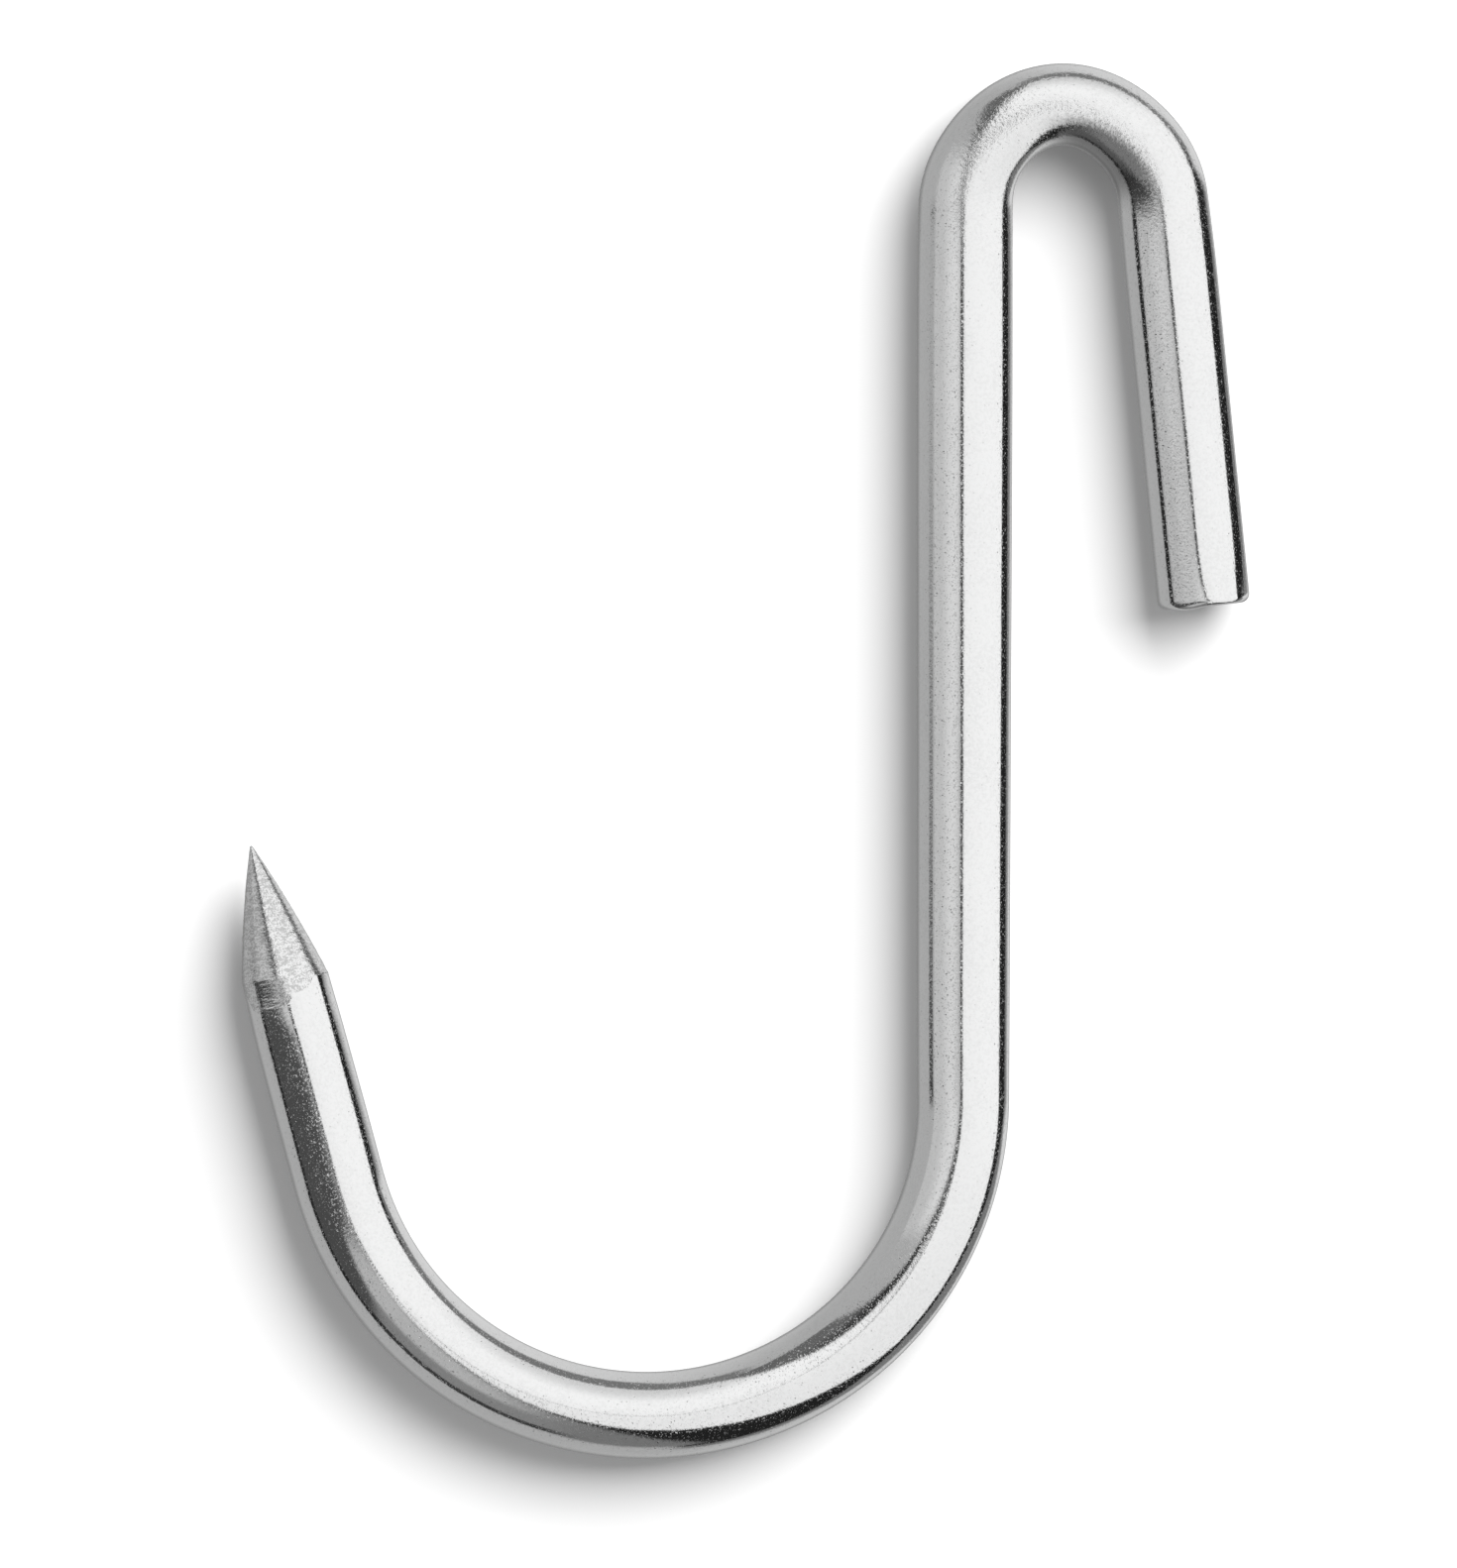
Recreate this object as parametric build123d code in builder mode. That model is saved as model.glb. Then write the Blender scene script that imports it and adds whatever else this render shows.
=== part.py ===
from build123d import *

import os
from math import cos, radians, sin

# Meat hook: one round stainless rod, bent to a J and ground to a point at its open end.
# It hangs from a flat rail by the narrow bend at its top.
# +Z runs up the shank, +X points to the short leg, and the hook is flat in the XZ plane.
# The origin is the seat: the inner side of the rail bend's crown, which rests on the rail.
# Lengths are in millimetres, and angles in degrees from +X towards +Z.

# Rod
rod_diameter = 8.0

# Rail bend, a half turn from the shank over to the short leg
rail_bend_radius = 8.6  # to the rod's centreline
rail_bend_rise = 5.4  # from the bend's centre up to the seat
crown_thickness = 7.0  # bending flattens the rod in the plane of the hook
crown_width = 8.4

# Short leg behind the rail, splayed outward
leg_splay = 5.7
leg_length = 35.3
leg_end_round = 0.8

# Shank
shank_length = 76.5

# Bowl that carries the load
bowl_radius = 27.35  # to the rod's centreline
bowl_thickness = 7.55
bowl_width = 8.25

# Tail, which leans away from the shank, and its ground point
tail_lean = 15.0
tail_length = 29.6  # from the end of the bowl to the tip
point_length = 12.0
point_base_diameter = 7.6  # grinding and polishing have slimmed the tail a little
point_bulge_radius = 90.0  # the sides of the point are slightly convex
tip_radius = 0.2

# Places worked out from the dimensions above
rod_radius = rod_diameter / 2
rail_bend_center = Vector(0, 0, -rail_bend_rise)
shank_top = rail_bend_center - Vector(rail_bend_radius, 0, 0)
shank_bottom = shank_top - Vector(0, 0, shank_length)
bowl_center = shank_bottom - Vector(bowl_radius, 0, 0)
rail_bend_turn = leg_splay - 180
bowl_turn = tail_lean - 180


def direction(angle):
    """Unit vector in the plane of the hook."""
    return Vector(cos(radians(angle)), 0, sin(radians(angle)))


def across_rod(origin, heading):
    """Plane across the rod where it runs towards the heading. Its own x is the row's Y."""
    return Plane(origin=origin, x_dir=(0, 1, 0), z_dir=direction(heading))


def bend_arc(center, radius, start, turn):
    """Centreline of a bend that turns clockwise from its start angle."""
    points = [center + radius * direction(start + share * turn) for share in (0, 0.5, 1)]
    return ThreePointArc(*points)


def bend_sections(center, radius, start, turn, thickness, width, rise=0.0):
    """The rod's plane, thickness and width along a bend: round at both ends, flattest midway."""
    for share, flattening in ((0, 0), (0.25, 0.7), (0.5, 1), (0.75, 0.7), (1, 0)):
        angle = start + share * turn
        origin = center + (radius + flattening * rise) * direction(angle)
        yield (
            across_rod(origin, angle - 90),
            rod_diameter + flattening * (thickness - rod_diameter),
            rod_diameter + flattening * (width - rod_diameter),
        )


crown_rise = rail_bend_rise + crown_thickness / 2 - rail_bend_radius
leg_top = rail_bend_center + rail_bend_radius * direction(leg_splay)
tail_bottom = bowl_center + bowl_radius * direction(bowl_turn)
point_base = (point_base_diameter / 2, tail_length - point_length)

with BuildPart() as hook:
    # Shank
    with BuildSketch(across_rod(shank_top, -90)):
        Circle(rod_radius)
    extrude(amount=shank_length)

    # Short leg, with the edge of its cut end rounded
    with BuildSketch(across_rod(leg_top, leg_splay - 90)):
        Circle(rod_radius)
    extrude(amount=leg_length)
    leg_end = hook.faces().filter_by(GeomType.PLANE).sort_by(Axis.X)[-1]
    fillet(leg_end.edges(), leg_end_round)

    # Rail bend
    for plane, thickness, width in bend_sections(
        rail_bend_center, rail_bend_radius, 180, rail_bend_turn, crown_thickness, crown_width, crown_rise
    ):
        with BuildSketch(plane):
            Ellipse(width / 2, thickness / 2)
    with BuildLine() as rail_bend_path:
        bend_arc(rail_bend_center, rail_bend_radius, 180, rail_bend_turn)
    sweep(path=rail_bend_path.line, multisection=True)

    # Bowl
    for plane, thickness, width in bend_sections(
        bowl_center, bowl_radius, 0, bowl_turn, bowl_thickness, bowl_width
    ):
        with BuildSketch(plane):
            Ellipse(width / 2, thickness / 2)
    with BuildLine() as bowl_path:
        bend_arc(bowl_center, bowl_radius, 0, bowl_turn)
    sweep(path=bowl_path.line, multisection=True)

    # Tail and point, turned about the tail's axis
    with BuildSketch(Plane(origin=tail_bottom, x_dir=direction(tail_lean), z_dir=(0, -1, 0))):
        with BuildLine():
            Polyline((0, tail_length), (0, 0), (rod_radius, 0), point_base)
            RadiusArc(point_base, (tip_radius, tail_length), -point_bulge_radius)
            Line((tip_radius, tail_length), (0, tail_length))
        make_face()
    revolve(axis=Axis(tail_bottom, direction(tail_lean + 90)))

hook.part.label = "hook"
os.makedirs("parts", exist_ok=True)
export_step(hook.part, "parts/hook.step")
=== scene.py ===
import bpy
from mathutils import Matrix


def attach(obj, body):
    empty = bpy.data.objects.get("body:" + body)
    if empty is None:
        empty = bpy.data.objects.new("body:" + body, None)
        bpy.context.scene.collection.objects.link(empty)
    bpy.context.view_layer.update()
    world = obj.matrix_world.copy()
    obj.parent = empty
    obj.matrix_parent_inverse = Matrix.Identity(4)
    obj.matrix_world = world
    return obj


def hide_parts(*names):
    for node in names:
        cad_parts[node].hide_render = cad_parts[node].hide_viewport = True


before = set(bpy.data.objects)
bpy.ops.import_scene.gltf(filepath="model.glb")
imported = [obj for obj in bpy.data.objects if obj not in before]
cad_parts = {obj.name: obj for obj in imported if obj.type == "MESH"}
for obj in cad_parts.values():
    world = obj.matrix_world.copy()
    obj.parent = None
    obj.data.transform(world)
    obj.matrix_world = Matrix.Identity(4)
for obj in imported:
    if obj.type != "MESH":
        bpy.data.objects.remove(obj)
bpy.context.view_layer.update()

from math import cos, hypot, radians, sin, tan

import bpy
from mathutils import Vector, noise

# A stainless meat hook: one round rod, bent to a J and ground to a point at its open end.
# The rod's mesh is worked out in millimetres along the CAD node's own line, then scaled to metres.
# Angles in the hook's plane are in degrees from +X towards +Z.
MM = 0.001

# The rod's line, from the cut end of the short leg to the tip
ROD_RADIUS = 4
RAIL_BEND_RADIUS = 8.6
RAIL_BEND_RISE = 5.4
LEG_SPLAY = 5.7
LEG_LENGTH = 35.3
SHANK_LENGTH = 76.5
BOWL_RADIUS = 27.35
TAIL_LEAN = 15.0
TAIL_LENGTH = 17.6
POINT_LENGTH = 12.0
RAIL_BEND_TURN = 180 - LEG_SPLAY
BOWL_TURN = 180 - TAIL_LEAN

# The rod's outline at stations along it. Each row is the span, the share of that span, and the
# distances in millimetres from the line to the bowl's side, to the slot's side, and to the front.
# The bowl's side is the one that faces the middle of the bowl, and on the rail bend the outer one.
OUTLINE = (
    ("leg", 0.0, 3.98, 4.0, 4.0),
    ("leg", 0.8, 3.98, 4.0, 4.0),
    ("rail_bend", 0.0, 3.83, 3.92, 4.02),
    ("rail_bend", 0.25, 3.56, 3.72, 4.12),
    ("rail_bend", 0.5, 3.79, 3.24, 4.19),
    ("rail_bend", 0.77, 3.62, 3.84, 4.12),
    ("shank", 0.0, 3.9, 4.2, 4.02),
    ("shank", 0.12, 4.06, 4.2, 4.0),
    ("shank", 0.6, 4.07, 4.05, 4.0),
    ("shank", 0.97, 4.06, 3.92, 4.0),
    ("bowl", 0.2, 3.85, 3.83, 4.08),
    ("bowl", 0.5, 3.78, 3.7, 4.12),
    ("bowl", 0.8, 3.85, 3.81, 4.08),
    ("tail", 0.2, 3.95, 3.89, 4.0),
    ("tail", 0.75, 3.88, 3.85, 3.95),
    ("tail", 1.0, 3.8, 3.68, 3.85),
    ("point", 1.0, 3.8, 3.66, 3.85),
)

# The rail bend's section is squared a little by the bending tool, on its inner side more than on its
# outer one. These are added to the ellipse's power.
INNER_SQUARENESS = 1.0
OUTER_SQUARENESS = 0.4

# Cut end of the short leg: its edge is rounded, and the shears have dragged the front to one side
# and bowed the cut. Sides are in degrees round the rod, from the bowl's side to the back.
LEG_END_ROUND = 0.8
CUT_EDGE_ROUND = 0.35
CUT_BOW = 0.25
DRAG_LENGTH = 7.0
DRAG_DEPTH = 0.5
DRAG_SIDE = -58
DRAG_REACH = 45
BOW_LENGTH = 2.0
BOW_SIDE = -118
BOW_REACH = 42

# Point: ground in rings, with slightly convex sides and a tip off the rod's axis
POINT_BASE_RADIUS = 3.8
TIP_RADIUS = 0.13
TIP_OFFSET = 0.2
POINT_BULGE = 0.22
LATE_START = 0.9
GROUND_DEPTH = 0.04
GROUND_RIPPLE = 0.025
GROUND_GRAIN = 0.01

# The mesh: points round the rod, and the steps between its rings, which are finer on the ground part
SIDES = 112
RING_PITCH = 0.5
GROUND_PITCH = 0.09
GROUND_RINGS_START = 3.2
SEED = 7


def direction(angle):
    """Unit vector in the plane of the hook."""
    return Vector((cos(radians(angle)), 0, sin(radians(angle))))


def smooth(value, start, end):
    """0 up to the start and 1 from the end, with no slope at either."""
    share = min(max((value - start) / (end - start), 0.0), 1.0)
    return share * share * (3 - 2 * share)


def hump(value, middle, reach):
    """1 in the middle, falling to 0 at the reach on either side."""
    return 1 - smooth(abs(value - middle), 0.0, reach)


class Line:
    """The rod's centreline, measured in millimetres from the leg's cut end."""

    def __init__(self):
        heading = 90 + LEG_SPLAY
        leg_top = Vector((0, 0, -RAIL_BEND_RISE)) + RAIL_BEND_RADIUS * direction(LEG_SPLAY)
        position = leg_top - LEG_LENGTH * direction(heading)
        self.spans = {}
        self.length = 0.0
        for name, length, turn in (
            ("leg", LEG_LENGTH, 0),
            ("rail_bend", RAIL_BEND_RADIUS * radians(RAIL_BEND_TURN), RAIL_BEND_TURN),
            ("shank", SHANK_LENGTH, 0),
            ("bowl", BOWL_RADIUS * radians(BOWL_TURN), -BOWL_TURN),
            ("tail", TAIL_LENGTH, 0),
            ("point", POINT_LENGTH, 0),
        ):
            span = (self.length, length, turn, position, heading)
            self.spans[name] = span
            self.length += length
            position, heading = self.along(span, self.length)

    @staticmethod
    def along(span, distance):
        """Position and heading on one span."""
        begins, length, turn, position, heading = span
        if not turn:
            return position + (distance - begins) * direction(heading), heading
        radius = length / radians(turn)
        center = position + radius * direction(heading + 90)
        heading += turn * (distance - begins) / length
        return center + radius * direction(heading - 90), heading

    def at(self, distance):
        for span in reversed(self.spans.values()):
            if distance >= span[0]:
                return self.along(span, distance)
        return self.along(self.spans["leg"], distance)

    def station(self, name, share=0.0):
        begins, length = self.spans[name][:2]
        return begins + share * length


line = Line()
POINT_START = line.station("point")
stations = [(line.station(name, share), sizes) for name, share, *sizes in OUTLINE]


def outline(distance):
    """The rod's three half sizes, on a smooth curve through the stations."""
    last = len(stations) - 1
    k = max((i for i in range(last) if distance >= stations[i][0]), default=0)
    (x1, y1), (x2, y2) = stations[k], stations[k + 1]
    x0, y0 = stations[max(k - 1, 0)]
    x3, y3 = stations[min(k + 2, last)]
    h = x2 - x1
    t = min(max((distance - x1) / h, 0.0), 1.0)
    sizes = []
    for a, b, c, d in zip(y0, y1, y2, y3):
        m1 = (c - a) / (x2 - x0) * h
        m2 = (d - b) / (x3 - x1) * h
        if (c - b) * (b - a) <= 0:
            m1 = 0
        if (c - b) * (d - c) <= 0:
            m2 = 0
        sizes.append(
            b * (1 + 2 * t) * (1 - t) ** 2 + m1 * t * (1 - t) ** 2
            + c * t * t * (3 - 2 * t) + m2 * t * t * (t - 1)
        )
    return sizes


def squareness(distance):
    """How far the bending tool has squared the rod: not at all on the straights, fully on the crown."""
    start, end = line.station("rail_bend"), line.station("shank")
    return smooth(distance, start - 2, start + 8) * (1 - smooth(distance, end - 9, end + 2))


def ground_border(angle):
    """How far the grinding reaches back past the point's base, in millimetres, round the rod."""
    turn = angle % 360
    wander = noise.noise(Vector((2.2 * cos(radians(turn)), 2.2 * sin(radians(turn)), SEED)))
    front = 0.95 * (smooth(turn, 196, 216) - smooth(turn, 268, 275))
    side = 0.85 * (smooth(turn, 190, 222) - smooth(turn, 298, 312))
    back = 1.2 * hump(turn, 80, 60)
    return 0.1 + front + side + back + 0.12 * wander


def section_point(distance, angle):
    """A point of the rod's skin: across the rod in its plane and in depth, its shift along, and how far
    it is past the ground border."""
    bowl_side, slot_side, front = outline(distance)
    c, s = cos(radians(angle)), sin(radians(angle))
    half = (bowl_side + slot_side) / 2
    power = 2 + (INNER_SQUARENESS if c < 0 else OUTER_SQUARENESS) * squareness(distance)
    radius = (abs(c / half) ** power + abs(s / front) ** power) ** (-1 / power)
    x = (bowl_side - slot_side) / 2 + radius * c
    y = radius * s

    # The cut end: an edge that is rounded most at the sides, and a front that is dragged to one side
    turn = (angle + 180) % 360 - 180
    edge = CUT_EDGE_ROUND + (LEG_END_ROUND - CUT_EDGE_ROUND) * c * c
    if distance < edge:
        inset = edge - (edge ** 2 - (edge - distance) ** 2) ** 0.5
        x *= 1 - inset / ROD_RADIUS
        y *= 1 - inset / ROD_RADIUS
    if distance < DRAG_LENGTH:
        rise = DRAG_DEPTH * (1 - distance / DRAG_LENGTH) ** 3 * hump(turn, DRAG_SIDE, DRAG_REACH)
        x += rise * c
        y += rise * s
    shift = -CUT_BOW * (1 - smooth(distance, 0, BOW_LENGTH)) * hump(turn, BOW_SIDE, BOW_REACH)

    # The point: the rod narrows to its tip on slightly convex sides, a little later on the outer side
    past = distance - POINT_START
    late = LATE_START * (1 - c) / 2
    if past > late:
        share = (past - late) / (POINT_LENGTH - late)
        narrowing = 1 - share + 4 * POINT_BULGE / POINT_BASE_RADIUS * share * (1 - share)
        tip = TIP_RADIUS / POINT_BASE_RADIUS
        keep = max(narrowing, 0) * (1 - tip) + tip
        x = x * keep + TIP_OFFSET * share
        y *= keep

    # Grinding marks: rings round the point, deepest near its border
    ground = past + ground_border(angle)
    if ground > 0:
        ripple = noise.noise(Vector((0.7 * c, 0.7 * s, 2.1 * distance)))
        fine = noise.noise(Vector((3.5 * c, 3.5 * s, 5.0 * distance)))
        radius = max(hypot(x, y), 1e-6)
        depth = smooth(ground, 0, 0.2) * (GROUND_DEPTH + GROUND_RIPPLE * ripple + GROUND_GRAIN * fine)
        depth *= min(radius / 2, 1)
        x *= 1 - depth / radius
        y *= 1 - depth / radius
    return x, y, shift, ground


def ring_stations():
    """Distances of the rings along the rod: close together at the cut end, at the border and on the point."""
    distances = [LEG_END_ROUND * (1 - cos(radians(15 * k))) for k in range(6)]
    distance = LEG_END_ROUND
    while distance < POINT_START - GROUND_RINGS_START:
        distances.append(distance)
        distance += RING_PITCH
    distance = POINT_START - GROUND_RINGS_START
    while distance < line.length - GROUND_PITCH / 2:
        distances.append(distance)
        distance += GROUND_PITCH
    return distances + [line.length]


def rod_mesh(name):
    """The rod's skin. Each point also keeps where it would be if the rod were straight, for the material."""
    verts, straight, ground = [], [], []
    stations_along = ring_stations()
    for distance in stations_along:
        center, heading = line.at(distance)
        for k in range(SIDES):
            angle = 360 * k / SIDES
            x, y, shift, past_border = section_point(distance, angle)
            skin = center + x * direction(heading - 90) + Vector((0, y, 0)) + shift * direction(heading)
            verts.append(skin * MM)
            straight.append((x, y, distance))
            ground.append(past_border)
    faces = []
    for r in range(len(stations_along) - 1):
        for k in range(SIDES):
            a, b = r * SIDES + k, r * SIDES + (k + 1) % SIDES
            faces.append((a, b, b + SIDES, a + SIDES))

    # The cut end and the tip are closed with rings that shrink to a middle point
    def close(first, shares, bulge, flip):
        rim = list(range(first, first + SIDES))
        middle = sum((Vector(verts[i]) for i in rim), Vector()) / SIDES
        along = line.at(straight[first][2])[1]
        outward = direction(along) * (1 if flip else -1)
        previous = rim
        for share in shares:
            ring = []
            for i in rim:
                ring.append(len(verts))
                rise = outward * bulge * (1 - share ** 2) * MM
                verts.append(middle + (Vector(verts[i]) - middle) * share + rise)
                straight.append((straight[i][0] * share, straight[i][1] * share, straight[i][2]))
                ground.append(ground[i])
            faces.extend(quads(previous, ring, flip))
            previous = ring
        tip = len(verts)
        verts.append(middle + outward * bulge * MM)
        straight.append((0, 0, straight[first][2]))
        ground.append(ground[first])
        for k in range(SIDES):
            a, b = previous[k], previous[(k + 1) % SIDES]
            faces.append((a, b, tip) if flip else (b, a, tip))

    def quads(outer, inner, flip):
        for k in range(SIDES):
            j = (k + 1) % SIDES
            face = (outer[k], outer[j], inner[j], inner[k])
            yield face if flip else face[::-1]

    close(0, (0.93, 0.75, 0.5, 0.25), 0.0, False)
    close((len(stations_along) - 1) * SIDES, (0.7, 0.35), 0.08, True)

    mesh = bpy.data.meshes.new(name)
    mesh.from_pydata(verts, [], faces)
    mesh.validate()
    mesh.polygons.foreach_set("use_smooth", [True] * len(mesh.polygons))
    where = mesh.attributes.new("straight_rod", "FLOAT_VECTOR", "POINT")
    where.data.foreach_set("vector", [value for point in straight for value in point])
    past = mesh.attributes.new("past_border", "FLOAT", "POINT")
    past.data.foreach_set("value", ground)
    mesh.update()
    return mesh


class Nodes:
    """Short ways to add and join shader nodes."""

    def __init__(self, tree):
        self.tree = tree
        tree.nodes.clear()

    def add(self, kind, inputs=None, **settings):
        node = self.tree.nodes.new(kind)
        for key, value in settings.items():
            setattr(node, key, value)
        for key, value in (inputs or {}).items():
            self.put(node.inputs[key], value)
        return node

    def put(self, socket, value):
        if isinstance(value, bpy.types.NodeSocket):
            self.tree.links.new(value, socket)
        else:
            socket.default_value = value

    def math(self, operation, a, b):
        node = self.add("ShaderNodeMath", {0: a, 1: b}, operation=operation)
        return node.outputs[0]

    def ramp(self, value, low, high, to_low=0.0, to_high=1.0):
        node = self.add(
            "ShaderNodeMapRange",
            {"Value": value, "From Min": low, "From Max": high, "To Min": to_low, "To Max": to_high},
            interpolation_type="SMOOTHSTEP",
        )
        return node.outputs["Result"]

    def noise(self, vector, scale, detail=2.0, rough=0.5):
        node = self.add(
            "ShaderNodeTexNoise", {"Vector": vector, "Scale": scale, "Detail": detail, "Roughness": rough}
        )
        return node.outputs["Fac"]

    def mix(self, share, a, b):
        node = self.add("ShaderNodeMix", data_type="FLOAT")
        self.put(node.inputs[0], share)
        self.put(node.inputs[2], a)
        self.put(node.inputs[3], b)
        return node.outputs[0]

    def mix_color(self, share, a, b):
        node = self.add("ShaderNodeMix", data_type="RGBA")
        self.put(node.inputs[0], share)
        self.put(node.inputs[6], a)
        self.put(node.inputs[7], b)
        return node.outputs[2]


# Steel colours: bright, dull (also reached by the painted shade in the rail bend's slot), and a darkest one
# that is only painted shade
STEEL = (0.698, 0.70, 0.70, 1.0)
STEEL_DULL_AND_SHADED = (0.459, 0.46, 0.459, 1.0)
STEEL_PAINTED_SHADE = (0.24, 0.24, 0.24, 1.0)
BEND_START, BEND_END = line.station("rail_bend"), line.station("shank")

# Roughness of each finish, from its smoothest to its roughest
POLISHED_ROUGHNESS = (0.05, 0.08)
DRAWN_ROUGHNESS = (-0.01, 0.02)
BENT_ROUGHNESS = (0.10, 0.18)
GROUND_ROUGHNESS = (0.02, 0.20)
SPECK_ROUGHNESS = 0.26

# Heights of the marks, in millimetres
GRAIN_HEIGHT = 0.0035
DRAW_LINE_HEIGHT = 0.003
SPECK_HEIGHT = 0.0025
PIT_DEPTH = 0.012
RING_HEIGHT = 0.05
GROUND_GRAIN_HEIGHT = 0.009
PEEL_HEIGHT = 0.022

# How dull each mark leaves the steel, and how far the painted shade in the rail bend's slot darkens it
PIT_DULLNESS = 0.4
PAINTED_SHADE_SHARE = 0.85


def stainless():
    """Polished drawn rod, orange-peeled where it is bent, and ground bare on the point."""
    material = bpy.data.materials.new("stainless_steel")
    material.use_nodes = True
    nodes = Nodes(material.node_tree)
    where = nodes.add("ShaderNodeAttribute", attribute_name="straight_rod").outputs["Vector"]
    past_border = nodes.add("ShaderNodeAttribute", attribute_name="past_border").outputs["Fac"]
    along = nodes.add("ShaderNodeSeparateXYZ", {0: where}).outputs["Z"]

    def stretched(round_scale, along_scale):
        """The straight rod's coordinates, squeezed so that a pattern comes out long one way."""
        scale = (round_scale, round_scale, along_scale)
        return nodes.add("ShaderNodeVectorMath", {0: where, 1: scale}, operation="MULTIPLY").outputs[0]

    edge_wander = nodes.noise(stretched(1.0, 1.0), 3.0, 3.0)
    ground = nodes.ramp(nodes.math("ADD", past_border, nodes.mix(edge_wander, -0.15, 0.15)), -0.06, 0.06)
    rail_bend = nodes.math(
        "MULTIPLY",
        nodes.ramp(along, BEND_START - 6.0, BEND_START + 4.0),
        nodes.ramp(along, BEND_END + 8.0, BEND_END - 4.0),
    )

    grain = nodes.noise(stretched(1.0, 1.0), 3.6, 2.0, 0.6)
    fine_grain = nodes.noise(stretched(1.0, 1.0), 6.5, 2.0, 0.6)
    draw_lines = nodes.noise(stretched(5.0, 0.12), 1.0, 4.0, 0.6)
    peel = nodes.noise(stretched(1.0, 1.0), 3.0, 2.5, 0.6)
    rings = nodes.noise(stretched(1.3, 3.6), 1.0, 3.0, 0.65)
    cloud = nodes.noise(stretched(1.0, 0.5), 0.35, 2.0)
    pits = nodes.add("ShaderNodeTexVoronoi", {"Vector": stretched(1.0, 1.0), "Scale": 1.6}, feature="F1")
    pit = nodes.ramp(pits.outputs["Distance"], 0.17, 0.05)
    speck = nodes.ramp(fine_grain, 0.58, 0.68)

    # Painted shade: the inner side of the rail bend, where it faces the slot, is coloured darker to stand in
    # for the mirrored rod and shadowed backdrop there
    across = nodes.add("ShaderNodeSeparateXYZ", {0: where}).outputs["X"]
    painted_shade_edge = nodes.math("ADD", across, nodes.mix(peel, -0.9, 0.9))
    inner_side = nodes.ramp(painted_shade_edge, -0.3, -1.7)
    painted_shade = nodes.math("MULTIPLY", inner_side, nodes.ramp(along, BEND_START - 1.5, BEND_START + 4.0))
    painted_shade = nodes.math("MULTIPLY", painted_shade, nodes.ramp(along, BEND_START + 16.0, BEND_START + 10.0))

    polished_roughness = nodes.mix(
        rail_bend,
        nodes.math("ADD", nodes.mix(cloud, *POLISHED_ROUGHNESS), nodes.mix(draw_lines, *DRAWN_ROUGHNESS)),
        nodes.mix(peel, *BENT_ROUGHNESS),
    )
    speck_roughness = nodes.math("MULTIPLY", speck, SPECK_ROUGHNESS)
    polished_roughness = nodes.math("ADD", polished_roughness, speck_roughness)
    roughness = nodes.mix(ground, polished_roughness, nodes.mix(fine_grain, *GROUND_ROUGHNESS))

    grain_tone = nodes.ramp(grain, 0.3, 0.7, -0.1, 0.14)
    tone = nodes.math("ADD", grain_tone, nodes.mix(cloud, -0.1, 0.16))
    tone = nodes.math("ADD", tone, nodes.math("MULTIPLY", pit, PIT_DULLNESS))
    ground_tone = nodes.ramp(nodes.mix(0.4, fine_grain, rings), 0.44, 0.56, -0.2, 1.1)
    tone = nodes.math("ADD", tone, nodes.math("MULTIPLY", ground, ground_tone))
    # Grain, cloud, pits and grinding dull the steel; the painted shade on the rail bend's inner side darkens
    # it further
    color = nodes.mix_color(nodes.math("ADD", tone, painted_shade), STEEL, STEEL_DULL_AND_SHADED)
    color = nodes.mix_color(nodes.math("MULTIPLY", painted_shade, PAINTED_SHADE_SHARE), color, STEEL_PAINTED_SHADE)

    def total(*parts):
        """Sum of patterns, each multiplied by its height."""
        height = None
        for pattern, rise in parts:
            part = nodes.math("MULTIPLY", pattern, rise)
            height = part if height is None else nodes.math("ADD", height, part)
        return height

    polished_height = total(
        (grain, GRAIN_HEIGHT), (draw_lines, DRAW_LINE_HEIGHT), (speck, SPECK_HEIGHT), (pit, -PIT_DEPTH)
    )
    ground_height = total((rings, RING_HEIGHT), (fine_grain, GROUND_GRAIN_HEIGHT))
    height = nodes.mix(ground, polished_height, ground_height)
    bend_peel = nodes.math("MULTIPLY", rail_bend, peel)
    height = nodes.math("ADD", height, nodes.math("MULTIPLY", bend_peel, PEEL_HEIGHT))
    bump = nodes.add("ShaderNodeBump", {"Height": height, "Distance": MM, "Strength": 1.0})

    shader = nodes.add(
        "ShaderNodeBsdfPrincipled",
        {"Base Color": color, "Metallic": 1.0, "Roughness": roughness, "Normal": bump.outputs[0]},
    )
    nodes.add("ShaderNodeOutputMaterial", {"Surface": shader.outputs[0]})
    return material


rod = bpy.data.objects.new("hook_rod", rod_mesh("hook_rod"))
bpy.context.scene.collection.objects.link(rod)
rod.data.materials.append(stainless())
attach(rod, "root")
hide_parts("hook")
rod.visible_glossy = False

# Camera: a long lens, straight on to the hook
CAMERA_AIM = Vector((-28.816, 0, -54.948)) * MM
CAMERA_DISTANCE = 2.0
to_camera = Vector((0, -1, 0))
camera = bpy.data.objects.new("camera", bpy.data.cameras.new("camera"))
bpy.context.scene.collection.objects.link(camera)
camera.location = CAMERA_AIM + to_camera * CAMERA_DISTANCE
camera.rotation_euler = (-to_camera).to_track_quat("-Z", "Y").to_euler()
camera.data.sensor_width = 36.0
camera.data.lens = 534.3
camera.data.clip_start = 0.01
camera.data.clip_end = 50.0
bpy.context.scene.camera = camera


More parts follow.
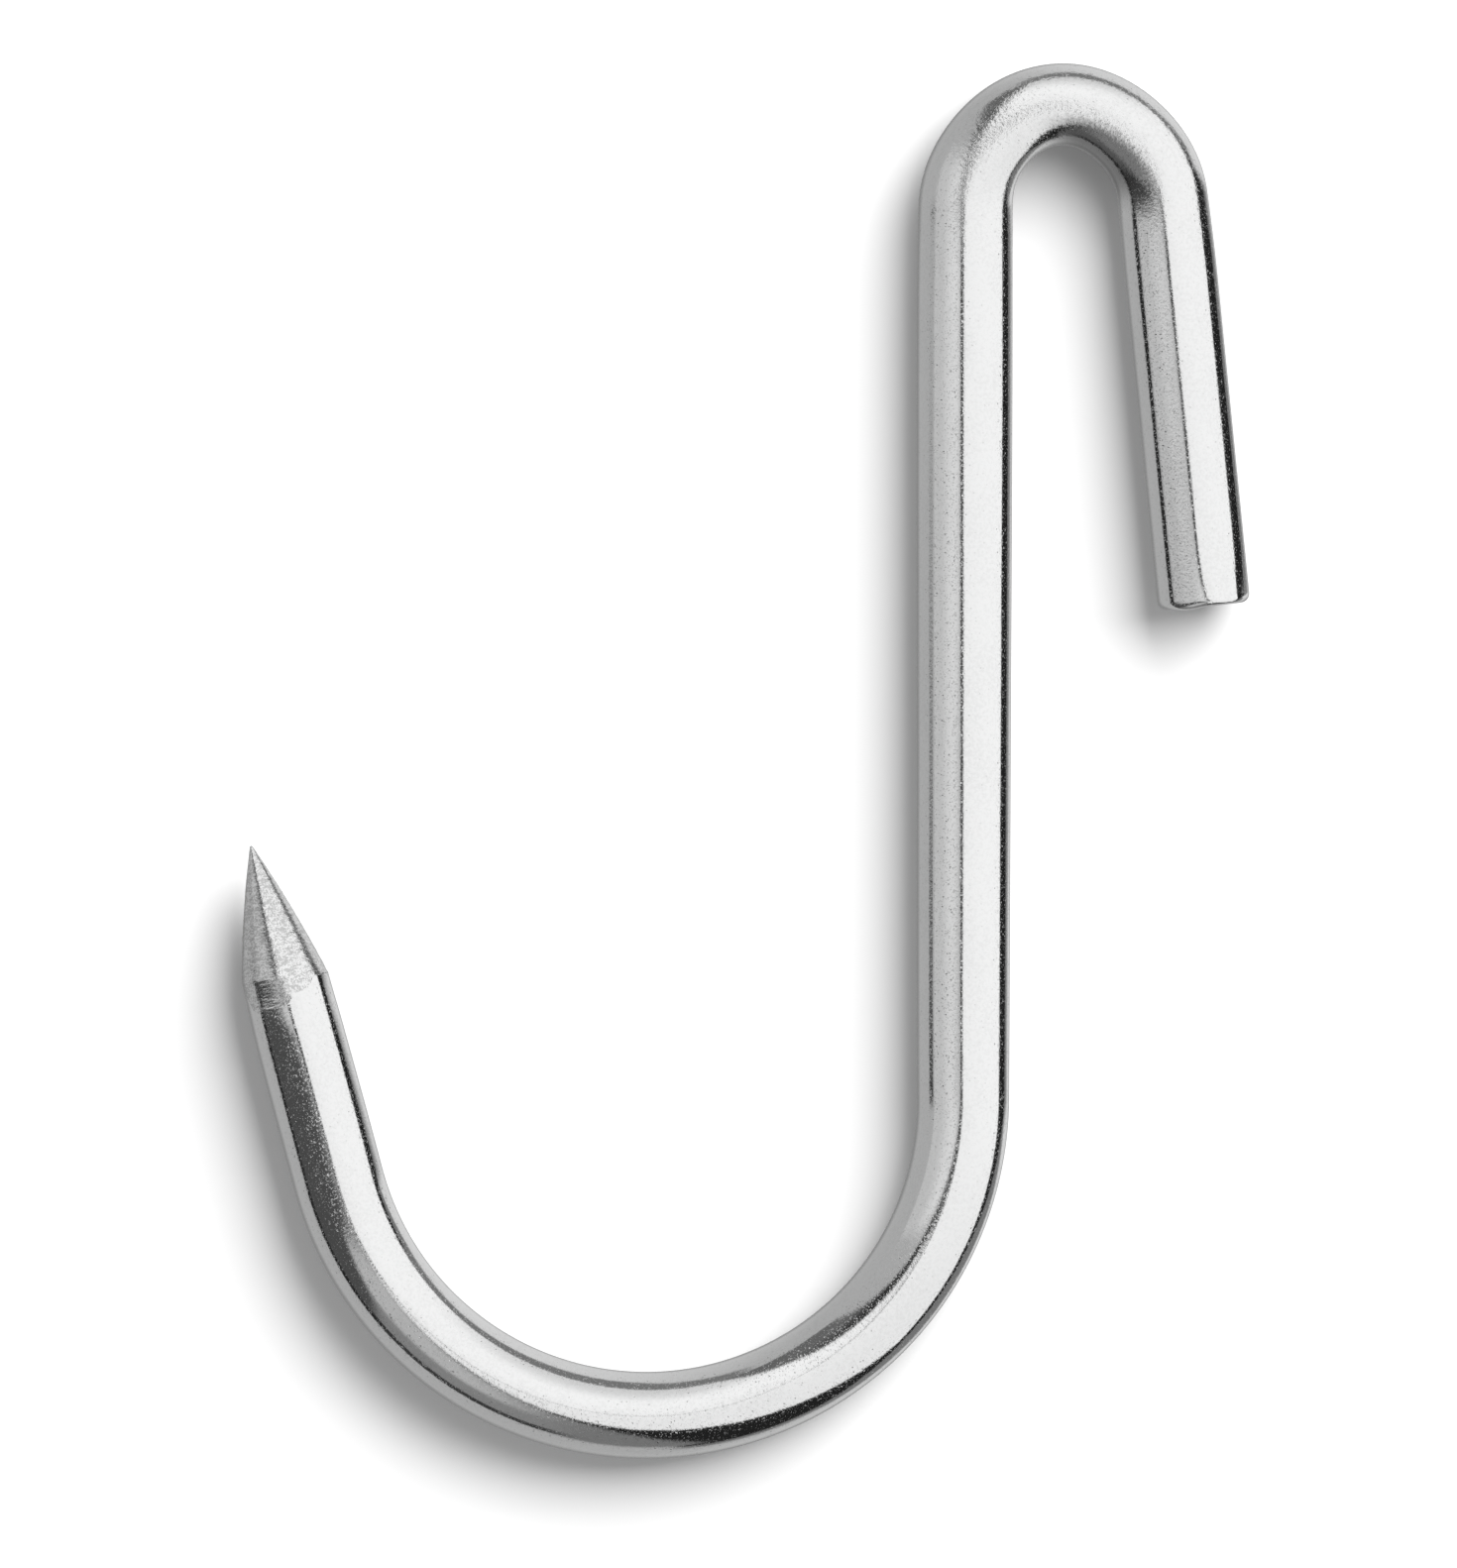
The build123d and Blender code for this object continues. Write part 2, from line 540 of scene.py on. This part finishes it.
def plain_stage(name, corners, material):
    """A flat rectangle that isn't part of the hook."""
    mesh = bpy.data.meshes.new(name)
    mesh.from_pydata(corners, [], [(0, 1, 2, 3)])
    panel = bpy.data.objects.new(name, mesh)
    bpy.context.scene.collection.objects.link(panel)
    mesh.materials.append(material)
    panel.visible_glossy = False
    return panel


def paper(name, one_sided, glow=0.0):
    """Matt white, which may glow. One-sided paper can't be seen from behind, so it never hides the hook."""
    material = bpy.data.materials.new(name)
    material.use_nodes = True
    nodes = Nodes(material.node_tree)
    surface = nodes.add("ShaderNodeBsdfDiffuse", {"Color": (0.9, 0.9, 0.9, 1.0)}).outputs[0]
    if glow:
        shine = nodes.add("ShaderNodeEmission", {"Strength": glow}).outputs[0]
        surface = nodes.add("ShaderNodeAddShader", {0: surface, 1: shine}).outputs[0]
    if one_sided:
        behind = nodes.add("ShaderNodeNewGeometry").outputs["Backfacing"]
        clear = nodes.add("ShaderNodeBsdfTransparent").outputs[0]
        surface = nodes.add("ShaderNodeMixShader", {0: behind, 1: surface, 2: clear}).outputs[0]
    nodes.add("ShaderNodeOutputMaterial", {"Surface": surface})
    return material


# The backdrop stands close behind the hook and takes its shadow
BACK_Y = 4.7 * MM
BACK_REACH = 0.6
FLOOR_Z = -0.35
FLOOR_REACH = 4.0
FLOOR_GLOW = 0.45
plain_stage(
    "backdrop",
    [(-BACK_REACH, BACK_Y, -BACK_REACH), (BACK_REACH, BACK_Y, -BACK_REACH),
     (BACK_REACH, BACK_Y, BACK_REACH), (-BACK_REACH, BACK_Y, BACK_REACH)],
    paper("backdrop_paper", True),
)
floor = plain_stage(
    "floor",
    [(-FLOOR_REACH, -FLOOR_REACH, FLOOR_Z), (FLOOR_REACH, -FLOOR_REACH, FLOOR_Z),
     (FLOOR_REACH, FLOOR_REACH, FLOOR_Z), (-FLOOR_REACH, FLOOR_REACH, FLOOR_Z)],
    paper("floor_paper", False, FLOOR_GLOW),
)
floor.visible_diffuse = False

# The key light, up and to the right, throws the soft shadow. The steel mirrors the panels below instead.
KEY_DISTANCE = 1.5
KEY_TILT = 32.0
KEY_SIZE = 1.25
KEY_POWER = 36.5
key = bpy.data.objects.new("key", bpy.data.lights.new("key", "AREA"))
bpy.context.scene.collection.objects.link(key)
toward_key = Vector((tan(radians(KEY_TILT)), -1, tan(radians(KEY_TILT)))).normalized()
key.location = CAMERA_AIM + toward_key * KEY_DISTANCE
key.rotation_euler = (-toward_key).to_track_quat("-Z", "Y").to_euler()
key.data.shape = "SQUARE"
key.data.size = KEY_SIZE
key.data.energy = KEY_POWER
key.visible_glossy = False


def sight(tilt, turn):
    """Direction at a tilt from the camera's, turned in degrees from +X towards +Z round it."""
    return to_camera * cos(radians(tilt)) + direction(turn) * sin(radians(tilt))


# The studio that the steel mirrors: flat panels round the hook, each given by the directions of its
# corners (tilt, turn) as the hook sees them, its brightness, and how soft its edges are. Later panels
# stand in front of earlier ones. A pair of brightnesses runs from the camera's side to the far side.
PANELS = (
    ("left_wall", ((5, 178), (24, 157), (74, 145), (80, 155), (76, 190), (5, 190)), (0.98, 0.72), 0.03),
    ("lower_wall", ((10, -172), (84, -172), (86, -135), (84, -96), (40, -98), (12, -125)), 0.30, 0.06),
    ("lower_wall_near", ((4, -168), (50, -168), (55, -130), (50, -100), (12, -125)), 0.62, 0.12),
    ("ledge_left", ((81, 180), (93, 180), (93, -135), (81, -135)), 0.02, 0.02),
    ("ledge_low", ((81, -138), (92, -138), (92, -96), (81, -96)), 0.05, 0.02),
    ("card_near", ((3, -160), (84, -171), (85, -154)), 0.09, 0.02),
    ("card_far", ((8, -168), (84, -173), (85, -135), (60, -142)), 0.09, 0.04),
    ("floor_side", ((40, -104), (95, -104), (100, -80), (45, -80)), 0.24, 0.08),
    (
        "flag_low",
        ((8, -140), (16, -127), (31, -110), (52, -95), (100, -82), (110, -60), (60, -20)),
        0.02,
        0.025,
    ),
    (
        "gap",
        ((5, -5), (4, -140), (11, -172), (19, 158), (74, 147), (82, 125), (76, 104)),
        (0.02, 0.17),
        0.015,
    ),
)
# Tilts between which a pair of brightnesses changes over
PANEL_FADE = (14, 60)
# Dark flags round the softbox's outer edge. Each row is the turn, how far the black cloth reaches
# in tilt, and how far the grey cloth behind it reaches.
FLAG_REACH = (
    (-82, 104, 112), (-60, 114, 124), (-42, 109, 140), (-18, 115, 140), (-4, 122, 123), (7, 134, 156),
    (15, 110, 112), (28, 102, 118), (46, 70, 106), (88, 70, 103), (108, 70, 92),
)
FLAG_INSIDE = 60
FLAG_OVERLAP = 3
BLACK_CLOTH, GREY_CLOTH = 0.02, 0.24
# The softbox is two pieces that overlap, with a notch between them that nearly reaches the camera.
# It brightens one way, and dims towards its top.
SOFTBOX = (
    (
        (79, 104), (47, 120), (22, 137), (11.5, 154), (4.5, 160), (1, 176), (1.75, -31), (30, -3),
        (101, 5), (93, 36), (86, 70),
    ),
    (
        (25, -111), (14, -126), (9, -142), (3.6, -150), (1, -176), (1.75, 31), (30, 12),
        (101, 5), (101, -46), (80, -58), (54, -77), (39, -93),
    ),
)
SOFTBOX_RADIANCE = (1.14, 1.28)
SOFTBOX_BRIGHTER = (90, 69)
SOFTBOX_TOP = 0.68
SOFTBOX_EDGE = 0.02
SURROUND = (0.55, 0.9)
SURROUND_BRIGHTER = (100, 20)
# The backdrop behind the hook lies in the hook's own shadow on one side
SHADE_MIDDLE = (168, -150)
SHADE = 0.3
# The even glow that lights the paper
AMBIENT = 0.4


def studio():
    """Light from all round: the panels for the steel, and an even glow for the paper."""
    world = bpy.data.worlds.new("studio")
    bpy.context.scene.world = world
    world.use_nodes = True
    world.cycles.sampling_method = "NONE"
    nodes = Nodes(world.node_tree)
    looking = nodes.add("ShaderNodeTexCoord").outputs["Generated"]

    def facing(way):
        dot = nodes.add("ShaderNodeVectorMath", {0: looking, 1: way}, operation="DOT_PRODUCT")
        return dot.outputs["Value"]

    bright = nodes.ramp(facing(sight(*SURROUND_BRIGHTER)), -0.3, 0.8, *SURROUND)
    softbox = nodes.math(
        "MULTIPLY",
        nodes.ramp(facing(sight(*SOFTBOX_BRIGHTER)), -0.36, 0.41, *SOFTBOX_RADIANCE),
        nodes.ramp(facing(sight(90, 90)), 0.6, 1.0, 1.0, SOFTBOX_TOP),
    )

    def panel(behind, corners, radiance, softness):
        """What is seen behind a panel, with the panel in front of it."""
        sights = [sight(*corner) for corner in corners]
        middle = sum(sights, Vector())
        mask = None
        for a, b in zip(sights, sights[1:] + sights[:1]):
            inward = a.cross(b).normalized()
            if inward.dot(middle) < 0:
                inward = -inward
            within = nodes.ramp(facing(inward), -softness, softness)
            mask = within if mask is None else nodes.math("MULTIPLY", mask, within)
        return nodes.mix(mask, behind, radiance)

    shade = nodes.ramp(facing(sight(*SHADE_MIDDLE)), 0.78, 0.98)
    bright = nodes.mix(shade, bright, SHADE)

    # The columns of FLAG_REACH: grey behind, black in front
    for cloth, radiance, softness in ((2, GREY_CLOTH, 0.05), (1, BLACK_CLOTH, 0.025)):
        for start, end in zip(FLAG_REACH, FLAG_REACH[1:]):
            low, high = start[0] - FLAG_OVERLAP, end[0] + FLAG_OVERLAP
            corners = ((FLAG_INSIDE, low), (start[cloth], low), (end[cloth], high), (FLAG_INSIDE, high))
            bright = panel(bright, corners, radiance, softness)
    for _name, corners, radiance, softness in PANELS:
        if isinstance(radiance, tuple):
            near, far = (cos(radians(tilt)) for tilt in PANEL_FADE)
            radiance = nodes.ramp(facing(to_camera), near, far, *radiance)
        bright = panel(bright, corners, radiance, softness)
    for corners in SOFTBOX:
        bright = panel(bright, corners, softbox, SOFTBOX_EDGE)
    path = nodes.add("ShaderNodeLightPath")
    bright = nodes.mix(nodes.math("MINIMUM", path.outputs["Diffuse Depth"], 1.0), bright, AMBIENT)
    bright = nodes.mix(path.outputs["Is Camera Ray"], bright, 1.0)
    gray = nodes.add("ShaderNodeCombineColor", {"Red": bright, "Green": bright, "Blue": bright})
    glow = nodes.add("ShaderNodeBackground", {"Color": gray.outputs[0], "Strength": 1.0})
    nodes.add("ShaderNodeOutputWorld", {"Surface": glow.outputs[0]})


studio()
bpy.context.scene.view_settings.view_transform = "Standard"
